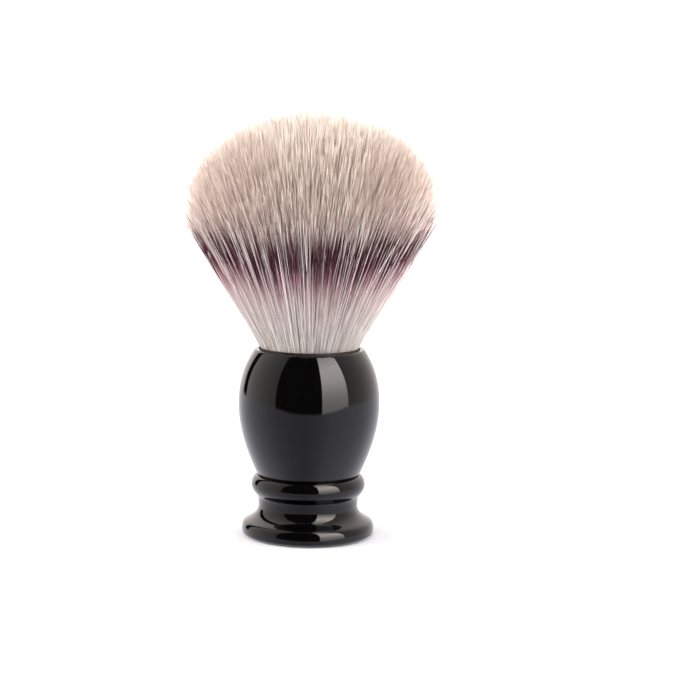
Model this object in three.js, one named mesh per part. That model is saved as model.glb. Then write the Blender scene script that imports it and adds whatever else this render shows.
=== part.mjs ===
// A shaving brush: a handle of two turned resin parts, and a fibre knot glued into its socket.
// Millimetres, +Z up, the origin at the centre of the flat face that the brush stands on.
// Every piece is a body of revolution about Z, so each has an outline of (radius, height) points.
import * as THREE from 'three';

// Driving dimensions.
const GAP = 0.3;
const FOOT_TOP = 15.6;
const WAIST_RADIUS = 12.55;
const BODY_RADIUS = 17.75;
const BODY_WIDEST = 33.4;
const RIM = 47.4;
const SOCKET_RADIUS = 12.7;
const SOCKET_FLOOR = 30;
const STUD_RADIUS = 3;
const STUD_BOTTOM = 6;
const STUD_TOP = 26;
const SPIGOT_RADIUS = 8;
const SPIGOT_HEIGHT = 2.5;
const RING_WALL = 0.9;
const RING_LIP = 0.4;
const FAN_SLOPE = 0.62;
const FAN_RADIUS = 31.4;
const DOME_BASE = 80;
const BRUSH_TOP = 106.5;

// The knot bends on a point above the rim, where two spherical cuts part its fibres.
const BEND_HEIGHT = RIM + 12;
const BEND_DEGREES = 28;
const CUT_GAP = 0.35;
const HEAD_CUT_RADIUS = 24;

const STEPS_ROUND = 36;
const STEPS_ROUND_SMALL = 20;

// Where the pieces meet.
const BODY_BOTTOM = FOOT_TOP + GAP;
const RING_OUTER = SOCKET_RADIUS - GAP;
const RING_INNER = RING_OUTER - RING_WALL;
const RING_MOUTH = RING_OUTER - RING_LIP;
const RING_TOP = RIM + RING_LIP;
const ADHESIVE_BOTTOM = SOCKET_FLOOR + GAP;
const ADHESIVE_TOP = ADHESIVE_BOTTOM + 1;
const RING_BOTTOM = ADHESIVE_TOP + GAP;
const RESIN_EDGE = RING_BOTTOM + 5.5;
const RESIN_CROWN = RESIN_EDGE + 0.8;
const FIBRE_RADIUS = RING_INNER - GAP;
const THREAD_BOTTOM = RESIN_CROWN + 0.8;
const THREAD_TURN = 0.5;
const THREAD_TURNS = 3;
const MOUTH_CUT_RADIUS = Math.hypot(RING_MOUTH, BEND_HEIGHT - RING_TOP);
const MID_CUT_RADIUS = MOUTH_CUT_RADIUS - CUT_GAP;

const BLACK_RESIN = { color: 0x08080a, roughness: 0.12, metalness: 0 };
const DARK_RING = { color: 0x2b1a12, roughness: 0.4, metalness: 0 };
const FIBRE = { color: 0xd9cbc0, roughness: 0.6, metalness: 0 };

const group = new THREE.Group();

// A closed solid turned about Z. The outline runs anticlockwise in (radius, height), and
// starts and ends on the axis or closes on itself.
function turned(name, outline, finish, stepsRound = STEPS_ROUND) {
  const geometry = new THREE.LatheGeometry(outline, stepsRound);
  geometry.rotateX(Math.PI / 2);
  const mesh = new THREE.Mesh(geometry, new THREE.MeshStandardMaterial(finish));
  mesh.name = name;
  group.add(mesh);
}

// The outline of a path drawn with lines, arcs and curves, without its repeated points.
function outlineOf(path, stepsPerCurve) {
  const points = path.getPoints(stepsPerCurve);
  return points.filter((point, i) => i === 0 || point.distanceTo(points[i - 1]) > 1e-6);
}

// A circle arc about a point on the axis, from one angle above the horizontal to another.
function axisArc(centreHeight, radius, fromDegrees, toDegrees, steps) {
  const points = [];
  for (let i = 0; i <= steps; i += 1) {
    const angle = THREE.MathUtils.degToRad(fromDegrees + ((toDegrees - fromDegrees) * i) / steps);
    const reach = Math.abs(Math.abs(angle) - Math.PI / 2) < 1e-9 ? 0 : radius * Math.cos(angle);
    points.push(new THREE.Vector2(reach, centreHeight + radius * Math.sin(angle)));
  }
  return points;
}

// The bulb that is held, with the knot's socket in its top and the stud's bore below.
function handleBody() {
  const boreRadius = STUD_RADIUS + GAP;
  const edge = 0.4;
  const bottomRadius = 13;
  const bottomEdge = 0.15;
  const flareRun = 2.6;
  const flareRise = 5.35;
  const bulgeBelow = 6.2;
  const bulgeAbove = 6;
  const shoulderRadius = 13.9;
  const shoulder = RIM - edge;
  const closeRun = 2.4;
  const closeDrop = 3.6;
  const rimEdge = 13.2;
  const path = new THREE.Path();
  path.moveTo(0, STUD_TOP + GAP);
  path.lineTo(boreRadius, STUD_TOP + GAP);
  path.lineTo(boreRadius, BODY_BOTTOM + SPIGOT_HEIGHT + GAP);
  path.lineTo(SPIGOT_RADIUS + GAP, BODY_BOTTOM + SPIGOT_HEIGHT + GAP);
  path.lineTo(SPIGOT_RADIUS + GAP, BODY_BOTTOM);
  path.lineTo(bottomRadius - bottomEdge, BODY_BOTTOM);
  path.lineTo(bottomRadius, BODY_BOTTOM + bottomEdge);
  path.bezierCurveTo(
    bottomRadius + flareRun, BODY_BOTTOM + bottomEdge + flareRise,
    BODY_RADIUS, BODY_WIDEST - bulgeBelow,
    BODY_RADIUS, BODY_WIDEST,
  );
  path.bezierCurveTo(
    BODY_RADIUS, BODY_WIDEST + bulgeAbove,
    shoulderRadius + closeRun, shoulder - closeDrop,
    shoulderRadius, shoulder,
  );
  path.lineTo(rimEdge, RIM);
  path.lineTo(SOCKET_RADIUS, RIM);
  path.lineTo(SOCKET_RADIUS, SOCKET_FLOOR);
  path.lineTo(0, SOCKET_FLOOR);
  turned('handle_body', outlineOf(path, 7), BLACK_RESIN);
}

// The foot: a rounded base, a hollow waist, a collar bead, and a spigot that centres it in the body.
function foot() {
  const flatRadius = 15.6;
  const edgeRadius = 16.2;
  const edgeHeight = 0.35;
  const baseRadius = 16.72;
  const baseHeight = 1.35;
  const ledgeRadius = 15.7;
  const ledgeHeight = 4.05;
  const waistHeight = 7.7;
  const underRadius = 13.1;
  const underHeight = 10.4;
  const beadRadius = 14.35;
  const beadHeight = 12.95;
  const topRadius = 12.85;
  const boreRadius = STUD_RADIUS + GAP;
  const path = new THREE.Path();
  path.moveTo(0, 0);
  path.lineTo(flatRadius, 0);
  path.lineTo(edgeRadius, edgeHeight);
  path.quadraticCurveTo(baseRadius, baseHeight / 2, baseRadius, baseHeight);
  path.bezierCurveTo(
    baseRadius, baseHeight + 1.15,
    ledgeRadius + 0.9, ledgeHeight - 0.55,
    ledgeRadius, ledgeHeight,
  );
  path.bezierCurveTo(
    ledgeRadius - 1.3, ledgeHeight + 0.8,
    WAIST_RADIUS, waistHeight - 2,
    WAIST_RADIUS, waistHeight,
  );
  path.bezierCurveTo(
    WAIST_RADIUS, waistHeight + 1.3,
    underRadius - 0.4, underHeight - 0.55,
    underRadius, underHeight,
  );
  path.bezierCurveTo(
    underRadius + 0.55, underHeight + 0.7,
    beadRadius, beadHeight - 1,
    beadRadius, beadHeight,
  );
  path.bezierCurveTo(
    beadRadius, beadHeight + 1.3,
    topRadius + 0.9, FOOT_TOP - 0.25,
    topRadius, FOOT_TOP,
  );
  path.lineTo(SPIGOT_RADIUS, FOOT_TOP);
  path.lineTo(SPIGOT_RADIUS, FOOT_TOP + SPIGOT_HEIGHT);
  path.lineTo(boreRadius, FOOT_TOP + SPIGOT_HEIGHT);
  path.lineTo(boreRadius, STUD_BOTTOM - GAP);
  path.lineTo(0, STUD_BOTTOM - GAP);
  turned('foot', outlineOf(path, 5), BLACK_RESIN);
}

// The steel stud, with chamfered ends, that is bonded into the foot and the body.
function joiningStud() {
  const chamfer = 0.6;
  const outline = [
    new THREE.Vector2(0, STUD_BOTTOM),
    new THREE.Vector2(STUD_RADIUS - chamfer, STUD_BOTTOM),
    new THREE.Vector2(STUD_RADIUS, STUD_BOTTOM + chamfer),
    new THREE.Vector2(STUD_RADIUS, STUD_TOP - chamfer),
    new THREE.Vector2(STUD_RADIUS - chamfer, STUD_TOP),
    new THREE.Vector2(0, STUD_TOP),
  ];
  turned('joining_stud', outline, { color: 0x9a9c9f, roughness: 0.35, metalness: 1 }, STEPS_ROUND_SMALL);
}

// The bed of adhesive under the knot.
function socketAdhesive() {
  const outline = [
    new THREE.Vector2(0, ADHESIVE_BOTTOM),
    new THREE.Vector2(RING_OUTER, ADHESIVE_BOTTOM),
    new THREE.Vector2(RING_OUTER, ADHESIVE_TOP),
    new THREE.Vector2(0, ADHESIVE_TOP),
  ];
  turned('socket_adhesive', outline, { color: 0xcfc3a2, roughness: 0.5, metalness: 0 });
}

// The sleeve round the knot's root, whose mouth opens out a little and shows above the rim.
function knotRing() {
  const mouthDepth = 1;
  const outline = [
    new THREE.Vector2(RING_INNER, RING_BOTTOM),
    new THREE.Vector2(RING_OUTER, RING_BOTTOM),
    new THREE.Vector2(RING_OUTER, RING_TOP),
    new THREE.Vector2(RING_MOUTH, RING_TOP),
    new THREE.Vector2(RING_INNER, RING_TOP - mouthDepth),
    new THREE.Vector2(RING_INNER, RING_BOTTOM),
  ];
  turned('knot_ring', outline, DARK_RING);
}

// The set resin that holds the fibre ends in the ring, with a crown where it has soaked upwards.
function setResin() {
  const path = new THREE.Path();
  path.moveTo(0, RING_BOTTOM);
  path.lineTo(FIBRE_RADIUS, RING_BOTTOM);
  path.lineTo(FIBRE_RADIUS, RESIN_EDGE);
  path.quadraticCurveTo(FIBRE_RADIUS / 2, RESIN_CROWN, 0, RESIN_CROWN);
  turned('set_resin', outlineOf(path, 5), { color: 0xb9925a, roughness: 0.3, metalness: 0 });
}

// The cord that ties the fibres, wound close in a shallow groove in their side.
function bindingThread() {
  const inner = FIBRE_RADIUS - THREAD_TURN;
  const top = THREAD_BOTTOM + THREAD_TURN * THREAD_TURNS;
  const path = new THREE.Path();
  path.moveTo(inner, THREAD_BOTTOM);
  for (let turn = 0; turn < THREAD_TURNS; turn += 1) {
    const start = THREAD_BOTTOM + THREAD_TURN * turn;
    path.quadraticCurveTo(FIBRE_RADIUS + 0.1, start + THREAD_TURN / 2, inner, start + THREAD_TURN);
  }
  path.lineTo(inner - GAP, top);
  path.lineTo(inner - GAP, THREAD_BOTTOM);
  path.lineTo(inner, THREAD_BOTTOM);
  turned('binding_thread', outlineOf(path, 3), { color: 0xe6ddc8, roughness: 0.9, metalness: 0 });
}

// The fibres inside the ring, from the set resin up to the spherical cut at the ring's mouth.
function fibreRoot() {
  const bottom = RESIN_CROWN + GAP;
  const neck = FIBRE_RADIUS - THREAD_TURN - 2 * GAP;
  const grooveTop = THREAD_BOTTOM + THREAD_TURN * THREAD_TURNS + GAP;
  const edgeDegrees = -THREE.MathUtils.radToDeg(Math.acos(FIBRE_RADIUS / MOUTH_CUT_RADIUS));
  const outline = [
    new THREE.Vector2(0, bottom),
    new THREE.Vector2(neck, bottom),
    new THREE.Vector2(neck, grooveTop),
    new THREE.Vector2(FIBRE_RADIUS, grooveTop),
    ...axisArc(BEND_HEIGHT, MOUTH_CUT_RADIUS, edgeDegrees, -90, 5),
  ];
  turned('fibre_root', outline, FIBRE);
}

// The radius of the fanned fibres at a height between the ring's mouth and the dome.
function fanRadius(height) {
  return RING_OUTER + FAN_SLOPE * (height - RING_TOP);
}

// The angle above the horizontal, in degrees, at which a sphere about the bend point meets the fan.
function fanCrossing(radius) {
  const fanAtBend = fanRadius(BEND_HEIGHT);
  const tilt = Math.atan(FAN_SLOPE);
  return THREE.MathUtils.radToDeg(Math.acos((fanAtBend * Math.cos(tilt)) / radius) - tilt);
}

// The lower stretch of the fan, a ball below that turns in the ring's mouth and a cap above.
function fibreMid() {
  const mouthDegrees = THREE.MathUtils.radToDeg(Math.asin((BEND_HEIGHT - RING_TOP) / MOUTH_CUT_RADIUS));
  const neckDegrees = BEND_DEGREES + 2 - mouthDegrees;
  const shoulder = BEND_HEIGHT - 2.5;
  const outline = [
    ...axisArc(BEND_HEIGHT, MID_CUT_RADIUS, -90, neckDegrees, 7),
    new THREE.Vector2(fanRadius(shoulder), shoulder),
    ...axisArc(BEND_HEIGHT, HEAD_CUT_RADIUS, fanCrossing(HEAD_CUT_RADIUS), 90, 7),
  ];
  turned('fibre_mid', outline, FIBRE);
}

// The rest of the fan and the dome of tips, hollowed below to fit over the lower stretch.
function fibreHead() {
  const cutRadius = HEAD_CUT_RADIUS + CUT_GAP;
  const widest = DOME_BASE - 1.4;
  const path = new THREE.Path();
  const cut = axisArc(BEND_HEIGHT, cutRadius, 90, fanCrossing(cutRadius), 7);
  path.moveTo(fanRadius(widest - 1.6), widest - 1.6);
  path.quadraticCurveTo(FAN_RADIUS, widest, FAN_RADIUS, DOME_BASE);
  path.absellipse(0, DOME_BASE, FAN_RADIUS, BRUSH_TOP - DOME_BASE, 0, Math.PI / 2, false, 0);
  const dome = outlineOf(path, 4);
  dome[dome.length - 1].x = 0;
  turned('fibre_head', [...cut, ...dome], FIBRE);
}

handleBody();
foot();
joiningStud();
socketAdhesive();
knotRing();
setResin();
bindingThread();
fibreRoot();
fibreMid();
fibreHead();

export default group;
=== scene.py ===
import math

import bpy
import numpy as np
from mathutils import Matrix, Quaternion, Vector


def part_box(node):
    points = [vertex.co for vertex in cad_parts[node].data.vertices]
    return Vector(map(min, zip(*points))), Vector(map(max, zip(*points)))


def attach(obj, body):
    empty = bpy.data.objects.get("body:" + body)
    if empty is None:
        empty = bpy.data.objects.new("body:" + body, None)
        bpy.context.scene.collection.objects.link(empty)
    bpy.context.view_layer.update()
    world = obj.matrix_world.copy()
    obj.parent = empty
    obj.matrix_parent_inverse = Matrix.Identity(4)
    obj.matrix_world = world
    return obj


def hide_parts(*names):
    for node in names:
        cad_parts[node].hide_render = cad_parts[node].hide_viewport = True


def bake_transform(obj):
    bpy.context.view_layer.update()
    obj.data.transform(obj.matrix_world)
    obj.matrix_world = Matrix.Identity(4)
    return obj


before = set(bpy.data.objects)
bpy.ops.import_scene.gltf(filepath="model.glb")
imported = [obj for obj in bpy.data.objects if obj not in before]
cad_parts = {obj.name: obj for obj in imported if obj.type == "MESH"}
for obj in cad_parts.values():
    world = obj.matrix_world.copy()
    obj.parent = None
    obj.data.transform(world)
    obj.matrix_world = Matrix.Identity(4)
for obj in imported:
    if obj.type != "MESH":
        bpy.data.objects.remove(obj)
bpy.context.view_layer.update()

# Sizes are in millimetres, as in the CAD, and become metres where a mesh is made.
MM = 0.001
ROUND_STEPS = 192


def box_mm(node):
    """A CAD node's lowest and highest corners, in millimetres."""
    low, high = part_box(node)
    return low / MM, high / MM


BODY_LOW, BODY_HIGH = box_mm("handle_body")
RING_LOW, RING_HIGH = box_mm("knot_ring")
ROOT_LOW, ROOT_HIGH = box_mm("fibre_root")
STUD_LOW, STUD_HIGH = box_mm("joining_stud")
THREAD_HIGH = box_mm("binding_thread")[1]
FOOT_HIGH = box_mm("foot")[1]
HEAD_HIGH = box_mm("fibre_head")[1]
ADHESIVE_LOW = box_mm("socket_adhesive")[0]

RIM = BODY_HIGH.z
GAP = 0.3
FOOT_TOP = BODY_LOW.z - GAP
SPIGOT_RADIUS = 8
SPIGOT_HEIGHT = FOOT_HIGH.z - FOOT_TOP
STUD_BORE = STUD_HIGH.x + GAP
STUD_BORE_BOTTOM = STUD_LOW.z - GAP
STUD_BORE_TOP = STUD_HIGH.z + GAP
SOCKET_RADIUS = RING_HIGH.x + GAP
SOCKET_FLOOR = ADHESIVE_LOW.z - GAP


# ---------------------------------------------------------------- camera

# The reach and the two heights are in metres, as the camera takes them.
CAMERA_REACH = 0.578
CAMERA_HEIGHT = 0.130
AIM_HEIGHT = 0.0496
SENSOR_MM = 36.0
LENS_MM = 123.8
CAMERA_ROLL = math.radians(0.62)
FRAME_SHIFT = 0.0439


def make_camera():
    """The photograph's view: from the front and a little above, the brush left of the middle."""
    data = bpy.data.cameras.new("camera")
    data.sensor_width = SENSOR_MM
    data.lens = LENS_MM
    data.shift_x = FRAME_SHIFT
    camera = bpy.data.objects.new("camera", data)
    camera.location = (0, -CAMERA_REACH, CAMERA_HEIGHT)
    down = math.atan2(CAMERA_HEIGHT - AIM_HEIGHT, CAMERA_REACH)
    camera.rotation_mode = "QUATERNION"
    tilt = camera.rotation_euler.to_quaternion()
    tilt.rotate(Quaternion((0, 0, 1), CAMERA_ROLL))
    tilt.rotate(Quaternion((1, 0, 0), math.pi / 2 - down))
    camera.rotation_quaternion = tilt
    bpy.context.scene.collection.objects.link(camera)
    bpy.context.scene.camera = camera


# ---------------------------------------------------------------- meshes


def mesh_object(name, vertices, faces, smooth_angle=None):
    """A mesh object from points in millimetres, with smooth faces between its sharp edges."""
    mesh = bpy.data.meshes.new(name)
    mesh.from_pydata((np.asarray(vertices) * MM).tolist(), [], faces)
    mesh.validate()
    mesh.polygons.foreach_set("use_smooth", [True] * len(mesh.polygons))
    if smooth_angle is not None:
        mesh.set_sharp_from_angle(angle=math.radians(smooth_angle))
    piece = bpy.data.objects.new(name, mesh)
    bpy.context.scene.collection.objects.link(piece)
    return piece


def bezier(*controls, steps=16):
    """Points of a quadratic or cubic curve, with both ends."""
    points = [np.tile(np.asarray(c, float), (steps + 1, 1)) for c in controls]
    t = np.linspace(0, 1, steps + 1)[:, None]
    while len(points) > 1:
        points = [a * (1 - t) + b * t for a, b in zip(points, points[1:])]
    return points[0]


def offset(point, outwards, upwards):
    """The (radius, height) point that far from another, often the handle of a curve that ends there."""
    return (point[0] + outwards, point[1] + upwards)


def outline(*stretches):
    """One outline of (radius, height) points from points and stretches, without repeats."""
    points = np.concatenate([np.atleast_2d(np.asarray(s, float)) for s in stretches])
    apart = np.linalg.norm(np.diff(points, axis=0), axis=1) > 1e-5
    return points[np.concatenate([[True], apart])]


def turned(name, points, steps=ROUND_STEPS, smooth_angle=32):
    """A closed solid turned about Z from an outline that starts and ends on the axis or closes."""
    closes = np.linalg.norm(points[0] - points[-1]) < 1e-5
    if closes:
        points = points[:-1]
    angles = np.linspace(0, 2 * math.pi, steps, endpoint=False)
    vertices = []
    rows = []
    for radius, height in points:
        if radius < 1e-6:
            rows.append([len(vertices)] * steps)
            vertices.append((0, 0, height))
        else:
            rows.append(list(range(len(vertices), len(vertices) + steps)))
            vertices.extend((radius * math.cos(a), radius * math.sin(a), height) for a in angles)
    pairs = list(zip(rows, rows[1:]))
    if closes:
        pairs.append((rows[-1], rows[0]))
    faces = []
    for low, high in pairs:
        for i in range(steps):
            j = (i + 1) % steps
            corners = [low[i], low[j], high[j], high[i]]
            corners = [c for k, c in enumerate(corners) if c != corners[k - 1]]
            if len(corners) > 2:
                faces.append(corners)
    return mesh_object(name, vertices, faces, smooth_angle)


# ---------------------------------------------------------------- materials


class Nodes:
    """A new material's node tree, with its shader."""

    def __init__(self, name):
        self.material = bpy.data.materials.new(name)
        self.material.use_nodes = True
        self.tree = self.material.node_tree
        self.shader = self.tree.nodes["Principled BSDF"]

    def add(self, kind, **values):
        """A node of a kind; a value is set on the property or the input of that name."""
        node = self.tree.nodes.new(kind)
        for key, value in values.items():
            if hasattr(node, key):
                setattr(node, key, value)
            else:
                node.inputs[key.replace("_", " ")].default_value = value
        return node

    def link(self, source, target):
        self.tree.links.new(source, target)

    def feed(self, target, value):
        """Gives an input a value, or links it if the value is another node's output."""
        if isinstance(value, bpy.types.NodeSocket):
            self.link(value, target)
        else:
            target.default_value = value

    def maths(self, operation, *inputs):
        node = self.add("ShaderNodeMath", operation=operation)
        for target, value in zip(node.inputs, inputs):
            self.feed(target, value)
        return node.outputs[0]

    def mix(self, factor, low, high, blend="MIX"):
        """Two colours mixed by a factor."""
        node = self.add("ShaderNodeMix", data_type="RGBA", blend_type=blend)
        for index, value in ((0, factor), (6, low), (7, high)):
            self.feed(node.inputs[index], value)
        return node.outputs[2]

    def split(self, vector):
        """A vector's three parts."""
        node = self.add("ShaderNodeSeparateXYZ")
        self.link(vector, node.inputs["Vector"])
        return node.outputs

    def set(self, **values):
        """Values that are the same all over go straight onto the shader's own sockets."""
        for key, value in values.items():
            self.shader.inputs[key.replace("_", " ")].default_value = value

    def ramp(self, source, stops):
        """A colour ramp from a list of (place, colour)."""
        node = self.add("ShaderNodeValToRGB")
        elements = node.color_ramp.elements
        while len(elements) < len(stops):
            elements.new(0.5)
        for element, (place, colour) in zip(elements, stops):
            element.position = place
            element.color = (*colour, 1)
        self.link(source, node.inputs["Fac"])
        return node.outputs["Color"]

    def noise(self, scale, detail=3.0, roughness=0.5, stretch=(1, 1, 1)):
        """Noise over the piece's own place, stretched along an axis if asked."""
        place = self.add("ShaderNodeTexCoord")
        mapping = self.add("ShaderNodeMapping")
        mapping.inputs["Scale"].default_value = stretch
        noise = self.add("ShaderNodeTexNoise", Scale=scale, Detail=detail, Roughness=roughness)
        self.link(place.outputs["Object"], mapping.inputs["Vector"])
        self.link(mapping.outputs["Vector"], noise.inputs["Vector"])
        return noise.outputs["Fac"]

    def bump(self, height, strength, distance):
        node = self.add("ShaderNodeBump", Strength=strength, Distance=distance)
        self.link(height, node.inputs["Height"])
        self.link(node.outputs["Normal"], self.shader.inputs["Normal"])


def handle_resin():
    """Polished black cast resin: faint cloudiness in it, and the finest turning and polishing marks."""
    m = Nodes("black_resin")
    cloud = m.noise(90, detail=4)
    m.link(m.ramp(cloud, [(0.3, (0.0007, 0.0006, 0.0007)), (0.7, (0.0014, 0.0012, 0.0013))]),
           m.shader.inputs["Base Color"])
    wear = m.noise(420, detail=5, roughness=0.6, stretch=(1, 1, 6))
    m.link(m.ramp(wear, [(0.35, (0.025,) * 3), (0.75, (0.055,) * 3)]), m.shader.inputs["Roughness"])
    m.set(IOR=1.5)
    m.bump(m.noise(60, detail=2), 0.02, 0.0002)
    return m.material


def ring_plastic():
    """Dark brown moulded plastic, a little cloudy, kept near black as partly painted shade of the gap under
    the fibres.
    """
    m = Nodes("ring_plastic")
    # Painted shade: the near-black brown of the ring's lip also stands for the shadow in the gap under the
    # overhanging fibres.
    m.link(m.ramp(m.noise(700, detail=4), [(0.3, (0.008, 0.004, 0.002)), (0.7, (0.018, 0.009, 0.005))]),
           m.shader.inputs["Base Color"])
    m.set(Roughness=0.5)
    m.bump(m.noise(2500, detail=3), 0.15, 0.0001)
    return m.material


def stud_steel():
    """Bright steel with fine lines along the bar."""
    m = Nodes("stud_steel")
    lines = m.noise(900, detail=3, stretch=(4, 4, 0.15))
    m.link(m.ramp(lines, [(0.3, (0.42, 0.43, 0.44)), (0.7, (0.62, 0.63, 0.64))]),
           m.shader.inputs["Base Color"])
    m.set(Metallic=1.0, Roughness=0.32)
    return m.material


def clear_glue(name, dark, light, roughness):
    """Set resin or adhesive, clouded and uneven."""
    m = Nodes(name)
    m.link(m.ramp(m.noise(500, detail=5), [(0.3, dark), (0.7, light)]), m.shader.inputs["Base Color"])
    m.set(Roughness=roughness)
    m.bump(m.noise(900, detail=4), 0.3, 0.0002)
    return m.material


def cord_thread():
    """Waxed cord, with the twist of its strands."""
    m = Nodes("waxed_cord")
    m.link(m.ramp(m.noise(1600, detail=4), [(0.3, (0.48, 0.42, 0.30)), (0.7, (0.72, 0.66, 0.52))]),
           m.shader.inputs["Base Color"])
    m.set(Roughness=0.8)
    m.bump(m.noise(2200, detail=2), 0.5, 0.0002)
    return m.material


# A fibre's colour is a function of its UV alone: across is its shade, up is the place along it.
BAND_SPAN = 100.0
SHADE_COLUMNS = 256


def band_place(millimetres):
    """The UV height of a place that far above the middle of a fibre's dark band."""
    return 0.5 + millimetres / BAND_SPAN


# From 13 mm above the band up, the stops are the cream tips, whose lightness is in part painted glow of
# light coming through the thin tips.
BANDED = [
    (-32, (0.69, 0.635, 0.605)),
    (-27, (0.72, 0.67, 0.645)),
    (-20, (0.76, 0.70, 0.69)),
    (-12, (0.76, 0.635, 0.635)),
    (-7.5, (0.48, 0.27, 0.30)),
    (-4.5, (0.170, 0.050, 0.070)),
    (-1.5, (0.090, 0.020, 0.036)),
    (1.5, (0.085, 0.024, 0.038)),
    (4.5, (0.20, 0.105, 0.112)),
    (8.5, (0.71, 0.58, 0.545)),
    (14, (0.69, 0.565, 0.50)),
    (18, (0.745, 0.625, 0.56)),
    (22, (0.82, 0.725, 0.65)),
]
PALE = [
    (-32, (0.71, 0.66, 0.63)),
    (-27, (0.74, 0.695, 0.67)),
    (-20, (0.82, 0.765, 0.755)),
    (-8, (0.93, 0.83, 0.84)),
    (0, (0.95, 0.85, 0.86)),
    (6, (0.93, 0.84, 0.81)),
    (13, (0.90, 0.79, 0.72)),
    (18, (0.83, 0.725, 0.65)),
    (22, (0.86, 0.775, 0.70)),
]


# Fibres with a shade below the first have no band, and those above the second have a full one.
NO_BAND = 0.27
FULL_BAND = 0.41
# How much darker or lighter than the rest a fibre may be.
TINTS = [(0, (0.70, 0.67, 0.66)), (0.4, (0.94, 0.93, 0.92)), (1, (1.08, 1.08, 1.08))]


def fibre_material():
    """Silvertip synthetic fibre: pale at the root, a plum-brown band on most, cream at the tip, lightened
    there in part as painted glow of light through the thin tips.
    """
    m = Nodes("silvertip_fibre")
    uv = m.add("ShaderNodeUVMap", uv_map="OFBake")
    shade, along, _ = m.split(uv.outputs["UV"])
    banded = m.ramp(along, [(band_place(at), colour) for at, colour in BANDED])
    pale = m.ramp(along, [(band_place(at), colour) for at, colour in PALE])
    share = m.add("ShaderNodeMapRange", interpolation_type="SMOOTHSTEP",
                  From_Min=NO_BAND, From_Max=FULL_BAND)
    m.link(shade, share.inputs["Value"])
    either = m.mix(share.outputs["Result"], pale, banded)
    chance = m.add("ShaderNodeTexWhiteNoise", noise_dimensions="1D")
    m.link(m.maths("FLOOR", m.maths("MULTIPLY", shade, SHADE_COLUMNS)), chance.inputs["W"])
    tint = m.ramp(chance.outputs["Value"], TINTS)
    m.link(m.mix(1.0, either, tint, blend="MULTIPLY"), m.shader.inputs["Base Color"])
    m.set(Roughness=0.45, IOR=1.5, Specular_IOR_Level=0.25)
    return m.material


# ---------------------------------------------------------------- the handle


def clothe(piece, material, slot, body, *nodes):
    """Gives a piece its material, seats it on its body and hides what it replaces. The slot is not used."""
    piece.data.materials.clear()
    piece.data.materials.append(material)
    if body:
        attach(piece, body)
    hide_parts(*nodes)


def body_outline():
    """The bulb, with its rounded rim, the knot's socket and the bores for the spigot and stud."""
    seam = 0.05
    low = FOOT_TOP + seam
    recess = low + SPIGOT_HEIGHT + GAP
    recess_radius = SPIGOT_RADIUS + GAP
    bottom = (12.95, low)
    bottom_corner = offset(bottom, 0.06, 0.14)
    widest = (BODY_HIGH.x, 33.4)
    shoulder = (13.9, RIM - 0.3)
    rim = (SOCKET_RADIUS, RIM)
    rim_edge = 0.15
    return outline(
        (0, STUD_BORE_TOP),
        (STUD_BORE, STUD_BORE_TOP),
        (STUD_BORE, recess),
        (recess_radius, recess),
        (recess_radius, low),
        bezier(offset(bottom, -0.2, 0), bottom, bottom_corner, steps=6),
        bezier(bottom_corner, offset(bottom, 2.6, 5.5), offset(widest, 0, -6.2), widest, steps=28),
        bezier(widest, offset(widest, 0, 6), offset(shoulder, 2.4, -3.6), shoulder, steps=28),
        bezier(shoulder, (shoulder[0] - 0.25, RIM), (shoulder[0] - 0.75, RIM), steps=8),
        bezier(offset(rim, rim_edge, 0), rim, offset(rim, 0, -rim_edge), steps=4),
        (SOCKET_RADIUS, SOCKET_FLOOR),
        (0, SOCKET_FLOOR),
    )


def foot_outline():
    """The rounded base, hollow waist and collar bead, and the spigot and bore above."""
    flat = (15.6, 0)
    corner = (16.2, 0.35)
    widest = (FOOT_HIGH.x, 1.35)
    ledge = (15.7, 4.05)
    waist = (12.55, 7.7)
    under_bead = (13.1, 10.4)
    bead = (14.35, 12.95)
    top = (12.85, FOOT_TOP)
    return outline(
        (0, 0),
        bezier(flat, (corner[0] - 0.15, 0), corner, steps=6),
        bezier(corner, offset(widest, 0, -0.65), widest, steps=10),
        bezier(widest, offset(widest, 0, 1.15), offset(ledge, 0.9, -0.55), ledge, steps=18),
        bezier(ledge, offset(ledge, -1.3, 0.8), offset(waist, 0, -2), waist, steps=20),
        bezier(waist, offset(waist, 0, 1.3), offset(under_bead, -0.4, -0.56), under_bead, steps=10),
        bezier(under_bead, offset(under_bead, 0.54, 0.7), offset(bead, 0, -1), bead, steps=12),
        bezier(bead, offset(bead, 0, 1.3), offset(top, 0.9, -0.25), top, steps=18),
        (SPIGOT_RADIUS, FOOT_TOP),
        (SPIGOT_RADIUS, FOOT_HIGH.z),
        (STUD_BORE, FOOT_HIGH.z),
        (STUD_BORE, STUD_BORE_BOTTOM),
        (0, STUD_BORE_BOTTOM),
    )


def ring_outline():
    """The knot ring, a sleeve with a rounded lip and an opened mouth."""
    inner = ROOT_HIGH.x + GAP
    lip = (RING_HIGH.x, RING_HIGH.z)
    mouth = offset(lip, -0.18, 0)
    mouth_depth = 1
    return outline(
        (inner, RING_LOW.z),
        (RING_HIGH.x, RING_LOW.z),
        bezier(offset(lip, 0, -0.1), lip, offset(lip, -0.08, 0), steps=5),
        bezier(offset(mouth, 0.05, 0), mouth, offset(mouth, -0.05, -0.08), steps=4),
        (inner, RING_HIGH.z - mouth_depth),
        (inner, RING_LOW.z),
    )


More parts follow.
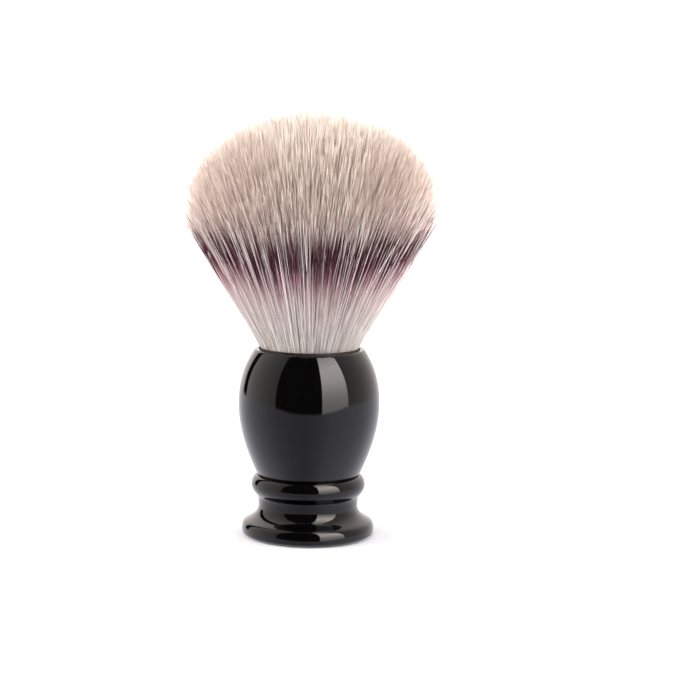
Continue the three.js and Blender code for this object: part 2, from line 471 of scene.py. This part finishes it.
def make_handle():
    resin = handle_resin()
    clothe(turned("handle_bulb", body_outline()), resin, "handle_resin", "handle", "handle_body")
    clothe(turned("handle_foot", foot_outline()), resin, "handle_resin", "handle", "foot")
    clothe(turned("root_ring", ring_outline()), ring_plastic(), "ring_plastic", "handle", "knot_ring")
    inner = {
        "joining_stud": stud_steel(),
        "socket_adhesive": clear_glue("socket_adhesive", (0.46, 0.40, 0.27), (0.62, 0.56, 0.42), 0.35),
        "set_resin": clear_glue("amber_resin", (0.30, 0.17, 0.06), (0.48, 0.30, 0.13), 0.22),
        "binding_thread": cord_thread(),
    }
    for node, material in inner.items():
        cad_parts[node].data.materials.clear()
        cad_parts[node].data.materials.append(material)


# ---------------------------------------------------------------- the fibres

FIBRE_COUNT = 23000
FIBRE_RADIUS = 0.084
FAN_SLOPE = 0.572
MOUTH_RADIUS = 12.27
MOUTH_HEIGHT = RING_HIGH.z + 0.06
DOME_BASE = 80.0
DOME_RADIUS = HEAD_HIGH.x - 1.2
DOME_HEIGHT = HEAD_HIGH.z - DOME_BASE + 1.8
# How far the dome swells past an ellipse, and how far its crown leans to the right.
DOME_FULLNESS = 1.5
CROWN_LEAN = 0.9
# Below 1, the fibres are a little closer together towards the outside of the knot.
OUTER_PACKING = 0.92
# The tips are off their places by this spread, and those of a few stray fibres by more.
TIP_SPREAD = 0.9
STRAY_SPREAD = 2.8
STRAY_CHANCE = 0.14
FAR_OUT_CHANCE = 0.09
WAVE_SPREAD = 0.27
# In the ring the fibres go on down for this depth and crowd together.
ROOT_DEPTH = 1.7
ROOT_CROWDING = 0.93
TAPER_START = 0.84
# Each fibre is cut into a lower and an upper tube, with rings at these shares of its length.
CUT = 0.46
LOWER_STEPS = (0.12, 0.28, CUT)
UPPER_STEPS = (CUT, 0.66, TAPER_START, 0.96, 1.0)
# A fibre is a tube with three sides, and this is where each side is in its UV column.
SIDES = 3
SIDE_PLACES = (0.0, 0.5, 0.25)


def for_some(rng, count, chance, most):
    """A random length up to the most for that share of the fibres, and none for the others."""
    return np.where(rng.uniform(size=count) < chance, most, 0.0) * rng.uniform(size=count)


def smooth_noise(rng, x, y, size, cells):
    """Soft noise of about unit spread over a plane, from random values on a grid."""
    grid = rng.normal(size=(cells, cells))
    gx, gy = (x / size) % cells, (y / size) % cells
    x0, y0 = np.floor(gx).astype(int), np.floor(gy).astype(int)
    fx, fy = gx - x0, gy - y0
    fx, fy = fx * fx * (3 - 2 * fx), fy * fy * (3 - 2 * fy)
    x0, y0 = x0 % cells, y0 % cells
    x1, y1 = (x0 + 1) % cells, (y0 + 1) % cells
    low = grid[x0, y0] * (1 - fx) + grid[x1, y0] * fx
    high = grid[x0, y1] * (1 - fx) + grid[x1, y1] * fx
    return low * (1 - fy) + high * fy


def dome_reach(radius, slope):
    """How far up a straight fibre goes before it meets the dome of tips."""
    lift = MOUTH_HEIGHT - DOME_BASE
    a = (slope / DOME_RADIUS) ** 2 + 1 / DOME_HEIGHT**2
    b = 2 * (radius * slope / DOME_RADIUS**2 + lift / DOME_HEIGHT**2)
    c = (radius / DOME_RADIUS) ** 2 + (lift / DOME_HEIGHT) ** 2 - 1
    return (-b + np.sqrt(b * b - 4 * a * c)) / (2 * a)


class Fibres:
    """All the fibres as arrays: where each leaves the ring, where it ends, how it waves, its shade."""

    def __init__(self, rng, count):
        self.share = np.sqrt(rng.uniform(0.0, 1.0, count)) ** OUTER_PACKING
        self.turn = rng.uniform(-math.pi, math.pi, count)
        level = np.zeros(count)
        self.outward = np.stack([np.cos(self.turn), np.sin(self.turn), level], 1)
        self.sideways = np.stack([-np.sin(self.turn), np.cos(self.turn), level], 1)
        stray = rng.uniform(size=count) < STRAY_CHANCE
        radius = MOUTH_RADIUS * self.share
        slope = FAN_SLOPE * self.share
        rise = self.rises(rng, count, dome_reach(radius, slope))
        self.mouth = self.outward * radius[:, None]
        self.mouth[:, 2] = MOUTH_HEIGHT
        self.root = self.mouth * (ROOT_CROWDING, ROOT_CROWDING, 1) - (0, 0, ROOT_DEPTH)
        self.tip = self.outward * (radius + slope * rise)[:, None]
        self.tip[:, 2] = MOUTH_HEIGHT + rise
        self.tip += self.tip_scatter(rng, count, stray)
        self.tip[:, 0] += CROWN_LEAN * (1 - self.share**2)
        self.length = np.linalg.norm(self.tip - self.mouth, axis=1)
        self.wave = self.level_shift(rng.normal(0, WAVE_SPREAD, (count, 2)))
        self.phase = rng.uniform(0.6, 1.6, count)
        self.width = FIBRE_RADIUS * rng.uniform(0.8, 1.25, count)
        self.band = self.band_height(rng, count)
        self.shade = self.shades(rng, count)

    def level_shift(self, amounts):
        """A level vector for each fibre from how far outwards and how far sideways it goes."""
        return self.outward * amounts[:, :1] + self.sideways * amounts[:, 1:]

    def rises(self, rng, count, to_dome):
        """How far up each fibre goes: to the dome, with some left short and some left long."""
        rise = to_dome + DOME_FULLNESS * np.sin(math.pi * self.share**2.5)
        shorter = np.abs(rng.normal(0, 0.45, count)) + for_some(rng, count, chance=0.15, most=2.5)
        longer = for_some(rng, count, chance=0.30, most=2.6)
        at_crown = 0.35
        return rise - shorter + longer * (at_crown + (1 - at_crown) * self.share)

    def tip_scatter(self, rng, count, stray):
        """How far each tip is off its place. Few of them stand far out from the fan."""
        spread = np.where(stray, STRAY_SPREAD, TIP_SPREAD)
        scatter = rng.normal(0, 1, (count, 2)) * spread[:, None]
        furthest = np.where(rng.uniform(size=(count, 1)) < FAR_OUT_CHANCE, STRAY_SPREAD, TIP_SPREAD)
        scatter[:, :1] = np.minimum(scatter[:, :1], furthest)
        return self.level_shift(scatter)

    def drift(self, rng, size, cells):
        """Soft noise over the ring's mouth, so that neighbouring fibres are alike."""
        shift = 40
        return smooth_noise(rng, self.mouth[:, 0] + shift, self.mouth[:, 1] + shift, size, cells)

    def band_height(self, rng, count):
        """How far up the fibre from the ring the middle of its dark band is."""
        inner = 35.1
        outer = 27.8
        rise_to_right = 0.45
        clump = 1.3
        spread = 2.1
        right = np.cos(self.turn)
        middle = inner - (inner - outer) * self.share**2 + rise_to_right * (right + right**2)
        return middle + clump * self.drift(rng, 0.6, cells=64) + rng.normal(0, spread, count)

    def shades(self, rng, count):
        """Each fibre's shade, from 0 with no band to 1 with a full one, in fine clumps, and lower towards
        the knot's left and right as painted light on its brightly lit sides.
        """
        usual = 0.65
        clump = 0.30
        spread = 0.27
        painted_light_at_sides = 0.22
        value = usual + clump * self.drift(rng, 0.2, cells=128) + rng.normal(0, spread, count)
        # Painted light: fibres towards the left and right of the knot are made paler, standing in for the
        # light on its sides.
        value -= painted_light_at_sides * np.cos(self.turn) ** 4
        column = np.floor(np.clip(value, 0.0, 0.999) * SHADE_COLUMNS)
        return (column + 0.25) / SHADE_COLUMNS

    def place(self, chosen, at):
        """Points of the chosen fibres at a share of their length above the ring."""
        straight = self.mouth[chosen] * (1 - at) + self.tip[chosen] * at
        swing = np.sin(math.pi * at * self.phase[chosen]) * at
        return straight + self.wave[chosen] * (2.2 * swing)[:, None]

    def thickness(self, chosen, at):
        """The radius there: slim in the ring, full along the middle, drawn to a point at the tip."""
        taper = 1.0 if at < TAPER_START else 1 - ((at - TAPER_START) / (1 - TAPER_START)) ** 3
        return self.width[chosen] * (0.8 + 0.2 * min(1.0, at * 4)) * taper

    def strands(self, name, chosen, steps, rooted, pointed):
        """One mesh of the chosen fibres, with rings at the steps and, if rooted, one in the ring."""
        centres = [self.place(chosen, at) for at in steps]
        radii = [self.thickness(chosen, at) for at in steps]
        heights = [band_place(at * self.length[chosen] - self.band[chosen]) for at in steps]
        if rooted:
            centres.insert(0, self.root[chosen])
            radii.insert(0, radii[0])
            heights.insert(0, band_place(-ROOT_DEPTH - self.band[chosen]))
        return strand_mesh(name, np.stack(centres, 1), np.stack(radii, 1),
                           self.shade[chosen], np.stack(heights, 1), pointed)


def strand_faces(rings, pointed):
    """A tube's corners, as numbers of its points, and its triangles, as numbers of its corners.

    Each end face has its own corners, so that it doesn't tilt the smooth sides.
    """
    stretches = rings - 2 if pointed else rings - 1
    last = (rings - 1) * SIDES
    bottom = (stretches + 1) * SIDES
    top = bottom + SIDES
    corners = list(range(bottom)) + list(range(SIDES))
    faces = [(bottom, bottom + 2, bottom + 1)]
    for ring in range(stretches):
        for i in range(SIDES):
            a = ring * SIDES + i
            b = ring * SIDES + (i + 1) % SIDES
            faces.extend([(a, b, b + SIDES), (a, b + SIDES, a + SIDES)])
    if pointed:
        corners.append(last)
        neck = stretches * SIDES
        faces.extend((neck + i, neck + (i + 1) % SIDES, top) for i in range(SIDES))
    else:
        corners.extend(range(last, last + SIDES))
        faces.append((top, top + 1, top + 2))
    return np.array(corners), np.array(faces)


def strand_mesh(name, centres, radii, shades, heights, pointed):
    """Closed tubes through rows of centres, all in one mesh, with their OFBake UVs.

    centres is fibres by rings by 3, and radii and heights are fibres by rings.
    """
    count, rings = radii.shape
    off_every_fibre = np.array([0.31, 0.17, 0.93])
    along = centres[:, -1] - centres[:, 0]
    along /= np.linalg.norm(along, axis=1)[:, None]
    across = np.cross(along, off_every_fibre)
    across /= np.linalg.norm(across, axis=1)[:, None]
    beside = np.cross(along, across)
    angles = [2 * math.pi * i / SIDES for i in range(SIDES)]
    arms = [across * math.cos(a) + beside * math.sin(a) for a in angles]
    tube = centres[:, :, None, :] + np.stack(arms, 1)[:, None] * radii[:, :, None, None]
    corners, faces = strand_faces(rings, pointed)
    points = tube.reshape(count, rings * SIDES, 3)[:, corners]
    if pointed:
        points[:, -1] = centres[:, -1]
    u = shades[:, None] + (np.array(SIDE_PLACES)[corners % SIDES] / SHADE_COLUMNS)[None]
    v = heights[:, corners // SIDES]
    loops = (faces[None] + (np.arange(count) * len(corners))[:, None, None]).reshape(-1)
    mesh = bpy.data.meshes.new(name)
    mesh.vertices.add(count * len(corners))
    mesh.vertices.foreach_set("co", (points * MM).astype(np.float32).ravel())
    mesh.loops.add(len(loops))
    mesh.loops.foreach_set("vertex_index", loops.astype(np.int32))
    mesh.polygons.add(len(loops) // 3)
    mesh.polygons.foreach_set("loop_start", np.arange(0, len(loops), 3, dtype=np.int32))
    mesh.polygons.foreach_set("use_smooth", np.ones(len(loops) // 3, bool))
    bake_uv(mesh, u.ravel(), v.ravel(), loops)
    mesh.update(calc_edges=True)
    piece = bpy.data.objects.new(name, mesh)
    bpy.context.scene.collection.objects.link(piece)
    return piece


def bake_uv(mesh, u, v, loop_vertex):
    """The OFBake UV map, from each vertex's place and each loop's vertex."""
    layer = mesh.uv_layers.new(name="OFBake")
    place = np.stack([u, v], 1)[loop_vertex]
    layer.data.foreach_set("uv", place.astype(np.float32).ravel())


def fibre_cells():
    """Cells of the knot: one in the middle and two rings of sectors, each sector over its own range of
    turns.
    """
    cells = [("core", 0.0, 0.34, -math.pi, math.pi)]
    for layer, low, high, sectors in (("inner", 0.34, 0.67, 6), ("outer", 0.67, 1.01, 12)):
        for i in range(sectors):
            start = -math.pi + 2 * math.pi * i / sectors
            end = -math.pi + 2 * math.pi * (i + 1) / sectors
            cells.append((f"{layer}_{i + 1:02d}", low, high, start, end))
    return cells


def make_fibres():
    rng = np.random.default_rng(27)
    fibres = Fibres(rng, FIBRE_COUNT)
    material = fibre_material()
    for name, low, high, start, end in fibre_cells():
        chosen = np.where((fibres.share >= low) & (fibres.share < high)
                          & (fibres.turn >= start) & (fibres.turn < end))[0]
        lower = fibres.strands(f"fibres_lower_{name}", chosen, LOWER_STEPS, rooted=True, pointed=False)
        upper = fibres.strands(f"fibres_upper_{name}", chosen, UPPER_STEPS, rooted=False, pointed=True)
        clothe(lower, material, "fibre", None, "fibre_mid")
        clothe(upper, material, "fibre", None, "fibre_head")
        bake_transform(lower)
        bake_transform(upper)
    return material


def make_root_bundle(material):
    """The fibres packed in the ring, a fluted bundle with a groove for the cord."""
    flutes = 72
    flute_depth = 0.006
    shade_step = 0.35 / 97
    groove_depth = 1.4
    band = 28
    low = ROOT_LOW.z
    high = RING_HIGH.z - 0.7
    waist = THREAD_HIGH.x - groove_depth
    groove_top = THREAD_HIGH.z + GAP
    edge = bezier((ROOT_HIGH.x, high - 0.4), (ROOT_HIGH.x - 0.2, high), (ROOT_HIGH.x - 2, high), steps=4)
    points = outline((0, low), (waist, low), (waist, groove_top), (ROOT_HIGH.x, groove_top), edge, (0, high))
    piece = turned("fibre_bundle_root", points, steps=flutes * 4)
    co = np.array([v.co for v in piece.data.vertices])
    angle = np.arctan2(co[:, 1], co[:, 0])
    co[:, :2] *= (1 - flute_depth * (1 + np.cos(angle * flutes)))[:, None]
    piece.data.vertices.foreach_set("co", co.ravel())
    loop_vertex = np.zeros(len(piece.data.loops), np.int32)
    piece.data.loops.foreach_get("vertex_index", loop_vertex)
    shade = np.floor((angle / (2 * math.pi) + 0.5) * flutes) * shade_step
    bake_uv(piece.data, shade, band_place(co[:, 2] / MM - MOUTH_HEIGHT - band), loop_vertex)
    clothe(piece, material, "fibre", "handle", "fibre_root")


# ---------------------------------------------------------------- stage


def only_in_reflections(piece):
    """A studio card that shows in gloss and does nothing else."""
    piece.visible_camera = False
    piece.visible_diffuse = False
    piece.visible_transmission = False
    piece.visible_volume_scatter = False
    piece.visible_shadow = False


SURROUND_RADIUS = 2.0
SURROUND_HEIGHT = 0.04
# The table's edge: its height in degrees in front, its share of that at the sides, and its blur.
HORIZON = -9.8
HORIZON_AT_SIDES = 0.45
HORIZON_BLUR = 2.5
TABLE_TINT = (0.985, 0.965, 1.05, 1)
WALL_TINT = (1.06, 0.98, 0.94, 1)
# The studio round the brush as its gloss sees it: (bearing, brightness). Bearing 0 is towards the
# camera, 90 to its right. Above the table are a black card, a bright strip and white walls.
WALLS = [
    (-180, 1.8), (-145, 1.7), (-120, 1.2), (-88, 0.9), (-66, 0.68),
    (-56, 0.58), (-55.5, 0.02), (21, 0.02), (21.6, 1), (64, 1), (67, 0.52), (95, 0.70), (112, 0.92),
    (145, 1.35), (180, 1.5),
]
TABLE = [
    (-180, 1.6), (-137, 1.45), (-114, 1.2), (-82, 0.93), (-56, 0.66), (-33, 0.53), (-8, 0.47),
    (20, 0.62), (42, 0.86), (66, 0.95), (94, 1.0), (111, 1.1), (133, 1.3), (180, 1.35),
]
# The strip's bearings, and how bright it is at each height in degrees.
STRIP = (21.4, 66.2)
STRIP_RISE = [(-9, 2.2), (0, 2.7), (8, 3.6), (24, 6.2), (40, 7.2), (59, 4.4), (80, 2.5)]
# A thin dark post behind on the left, and the height of its foot.
STREAK = (-136, -123)
STREAK_FOOT = -5.0
# No level is above this, which is the top of the colour ramps.
BRIGHTEST = 8.0


def surround_material():
    """The studio as one glowing shell, painted by bearing and height round the brush."""
    m = Nodes("studio_surround")
    m.tree.nodes.remove(m.shader)

    def levels(place, stops):
        low = stops[0][0]
        high = stops[-1][0]
        spread = m.maths("DIVIDE", m.maths("SUBTRACT", place, low), high - low)
        colours = [((at - low) / (high - low), (value / BRIGHTEST,) * 3) for at, value in stops]
        return m.maths("MULTIPLY", m.ramp(spread, colours), BRIGHTEST)

    def between(place, low, high):
        return m.maths("MULTIPLY", m.maths("GREATER_THAN", place, low), m.maths("LESS_THAN", place, high))

    x, y, z = m.split(m.add("ShaderNodeTexCoord").outputs["Object"])
    bearing = m.maths("DEGREES", m.maths("ARCTAN2", x, m.maths("MULTIPLY", y, -1.0)))
    rise = m.maths("DEGREES", m.maths("ARCSINE", m.maths("DIVIDE", z, SURROUND_RADIUS)))
    strip = m.maths("MULTIPLY", between(bearing, *STRIP), levels(rise, STRIP_RISE))
    streak = m.maths("MULTIPLY", between(bearing, *STREAK), m.maths("GREATER_THAN", rise, STREAK_FOOT))
    walls = m.maths("MULTIPLY", m.maths("MAXIMUM", levels(bearing, WALLS), strip),
                    m.maths("SUBTRACT", 1.0, streak))
    facing = m.maths("COSINE", m.maths("RADIANS", bearing))
    edge = m.maths("MULTIPLY", m.maths("MAXIMUM", facing, HORIZON_AT_SIDES), HORIZON)
    past = m.maths("MULTIPLY_ADD", m.maths("SUBTRACT", rise, edge), 1 / HORIZON_BLUR, 0.5)
    above = m.maths("MINIMUM", m.maths("MAXIMUM", past, 0.0), 1.0)
    table = levels(bearing, TABLE)
    glow = m.add("ShaderNodeEmission")
    m.link(m.mix(above, TABLE_TINT, WALL_TINT), glow.inputs["Color"])
    m.link(m.maths("MULTIPLY_ADD", above, m.maths("SUBTRACT", walls, table), table),
           glow.inputs["Strength"])
    m.link(glow.outputs[0], m.tree.nodes["Material Output"].inputs["Surface"])
    return m.material


def make_surround():
    """The shell that carries the studio's reflections, seen in gloss and nowhere else."""
    rows, columns = 36, 72
    vertices = []
    for r in range(rows + 1):
        for c in range(columns):
            low = math.pi * (r / rows - 0.5)
            turn = 2 * math.pi * c / columns
            vertices.append((math.cos(low) * math.cos(turn), math.cos(low) * math.sin(turn), math.sin(low)))
    faces = [(r * columns + c, r * columns + (c + 1) % columns,
              (r + 1) * columns + (c + 1) % columns, (r + 1) * columns + c)
             for r in range(rows) for c in range(columns)]
    shell = mesh_object("studio_surround", np.array(vertices) * SURROUND_RADIUS / MM, faces)
    shell.location.z = SURROUND_HEIGHT
    shell.data.materials.append(surround_material())
    only_in_reflections(shell)


def disc(name, radius, height, steps=96):
    angles = np.linspace(0, 2 * math.pi, steps, endpoint=False)
    vertices = [(radius * math.cos(a), radius * math.sin(a), height) for a in angles]
    return mesh_object(name, vertices, [tuple(range(steps))])


def make_floor():
    floor = disc("floor", 4000, 0)
    m = Nodes("floor_paper")
    m.link(m.ramp(m.noise(3, detail=3), [(0.3, (0.60, 0.60, 0.61)), (0.7, (0.63, 0.63, 0.64))]),
           m.shader.inputs["Base Color"])
    m.set(Roughness=0.9, Specular_IOR_Level=0.1)
    floor.data.materials.append(m.material)
    floor.visible_glossy = False


def soft_sun(name, bearing, height, spread, strength):
    """Even, very soft light from a bearing and height in degrees, which gloss doesn't see."""
    data = bpy.data.lights.new(name, "SUN")
    data.angle = math.radians(spread)
    data.energy = strength
    light = bpy.data.objects.new(name, data)
    light.rotation_euler = (math.radians(90 - height), 0, math.radians(bearing))
    light.visible_camera = False
    light.visible_glossy = False
    bpy.context.scene.collection.objects.link(light)


def make_studio():
    scene = bpy.context.scene
    scene.view_settings.view_transform = "Standard"
    world = bpy.data.worlds.new("studio")
    scene.world = world
    world.use_nodes = True
    background = world.node_tree.nodes["Background"]
    background.inputs["Color"].default_value = (1.0, 0.985, 0.97, 1)
    background.inputs["Strength"].default_value = 1.12
    make_floor()
    make_surround()
    soft_sun("overhead", 0, 85, 80, 0.6)
    soft_sun("front_fill", -8, 30, 50, 0.9)
    soft_sun("side_left", -98, 10, 55, 8.3)
    soft_sun("side_right", 98, 10, 55, 6.9)


make_camera()
make_handle()
make_root_bundle(make_fibres())
make_studio()
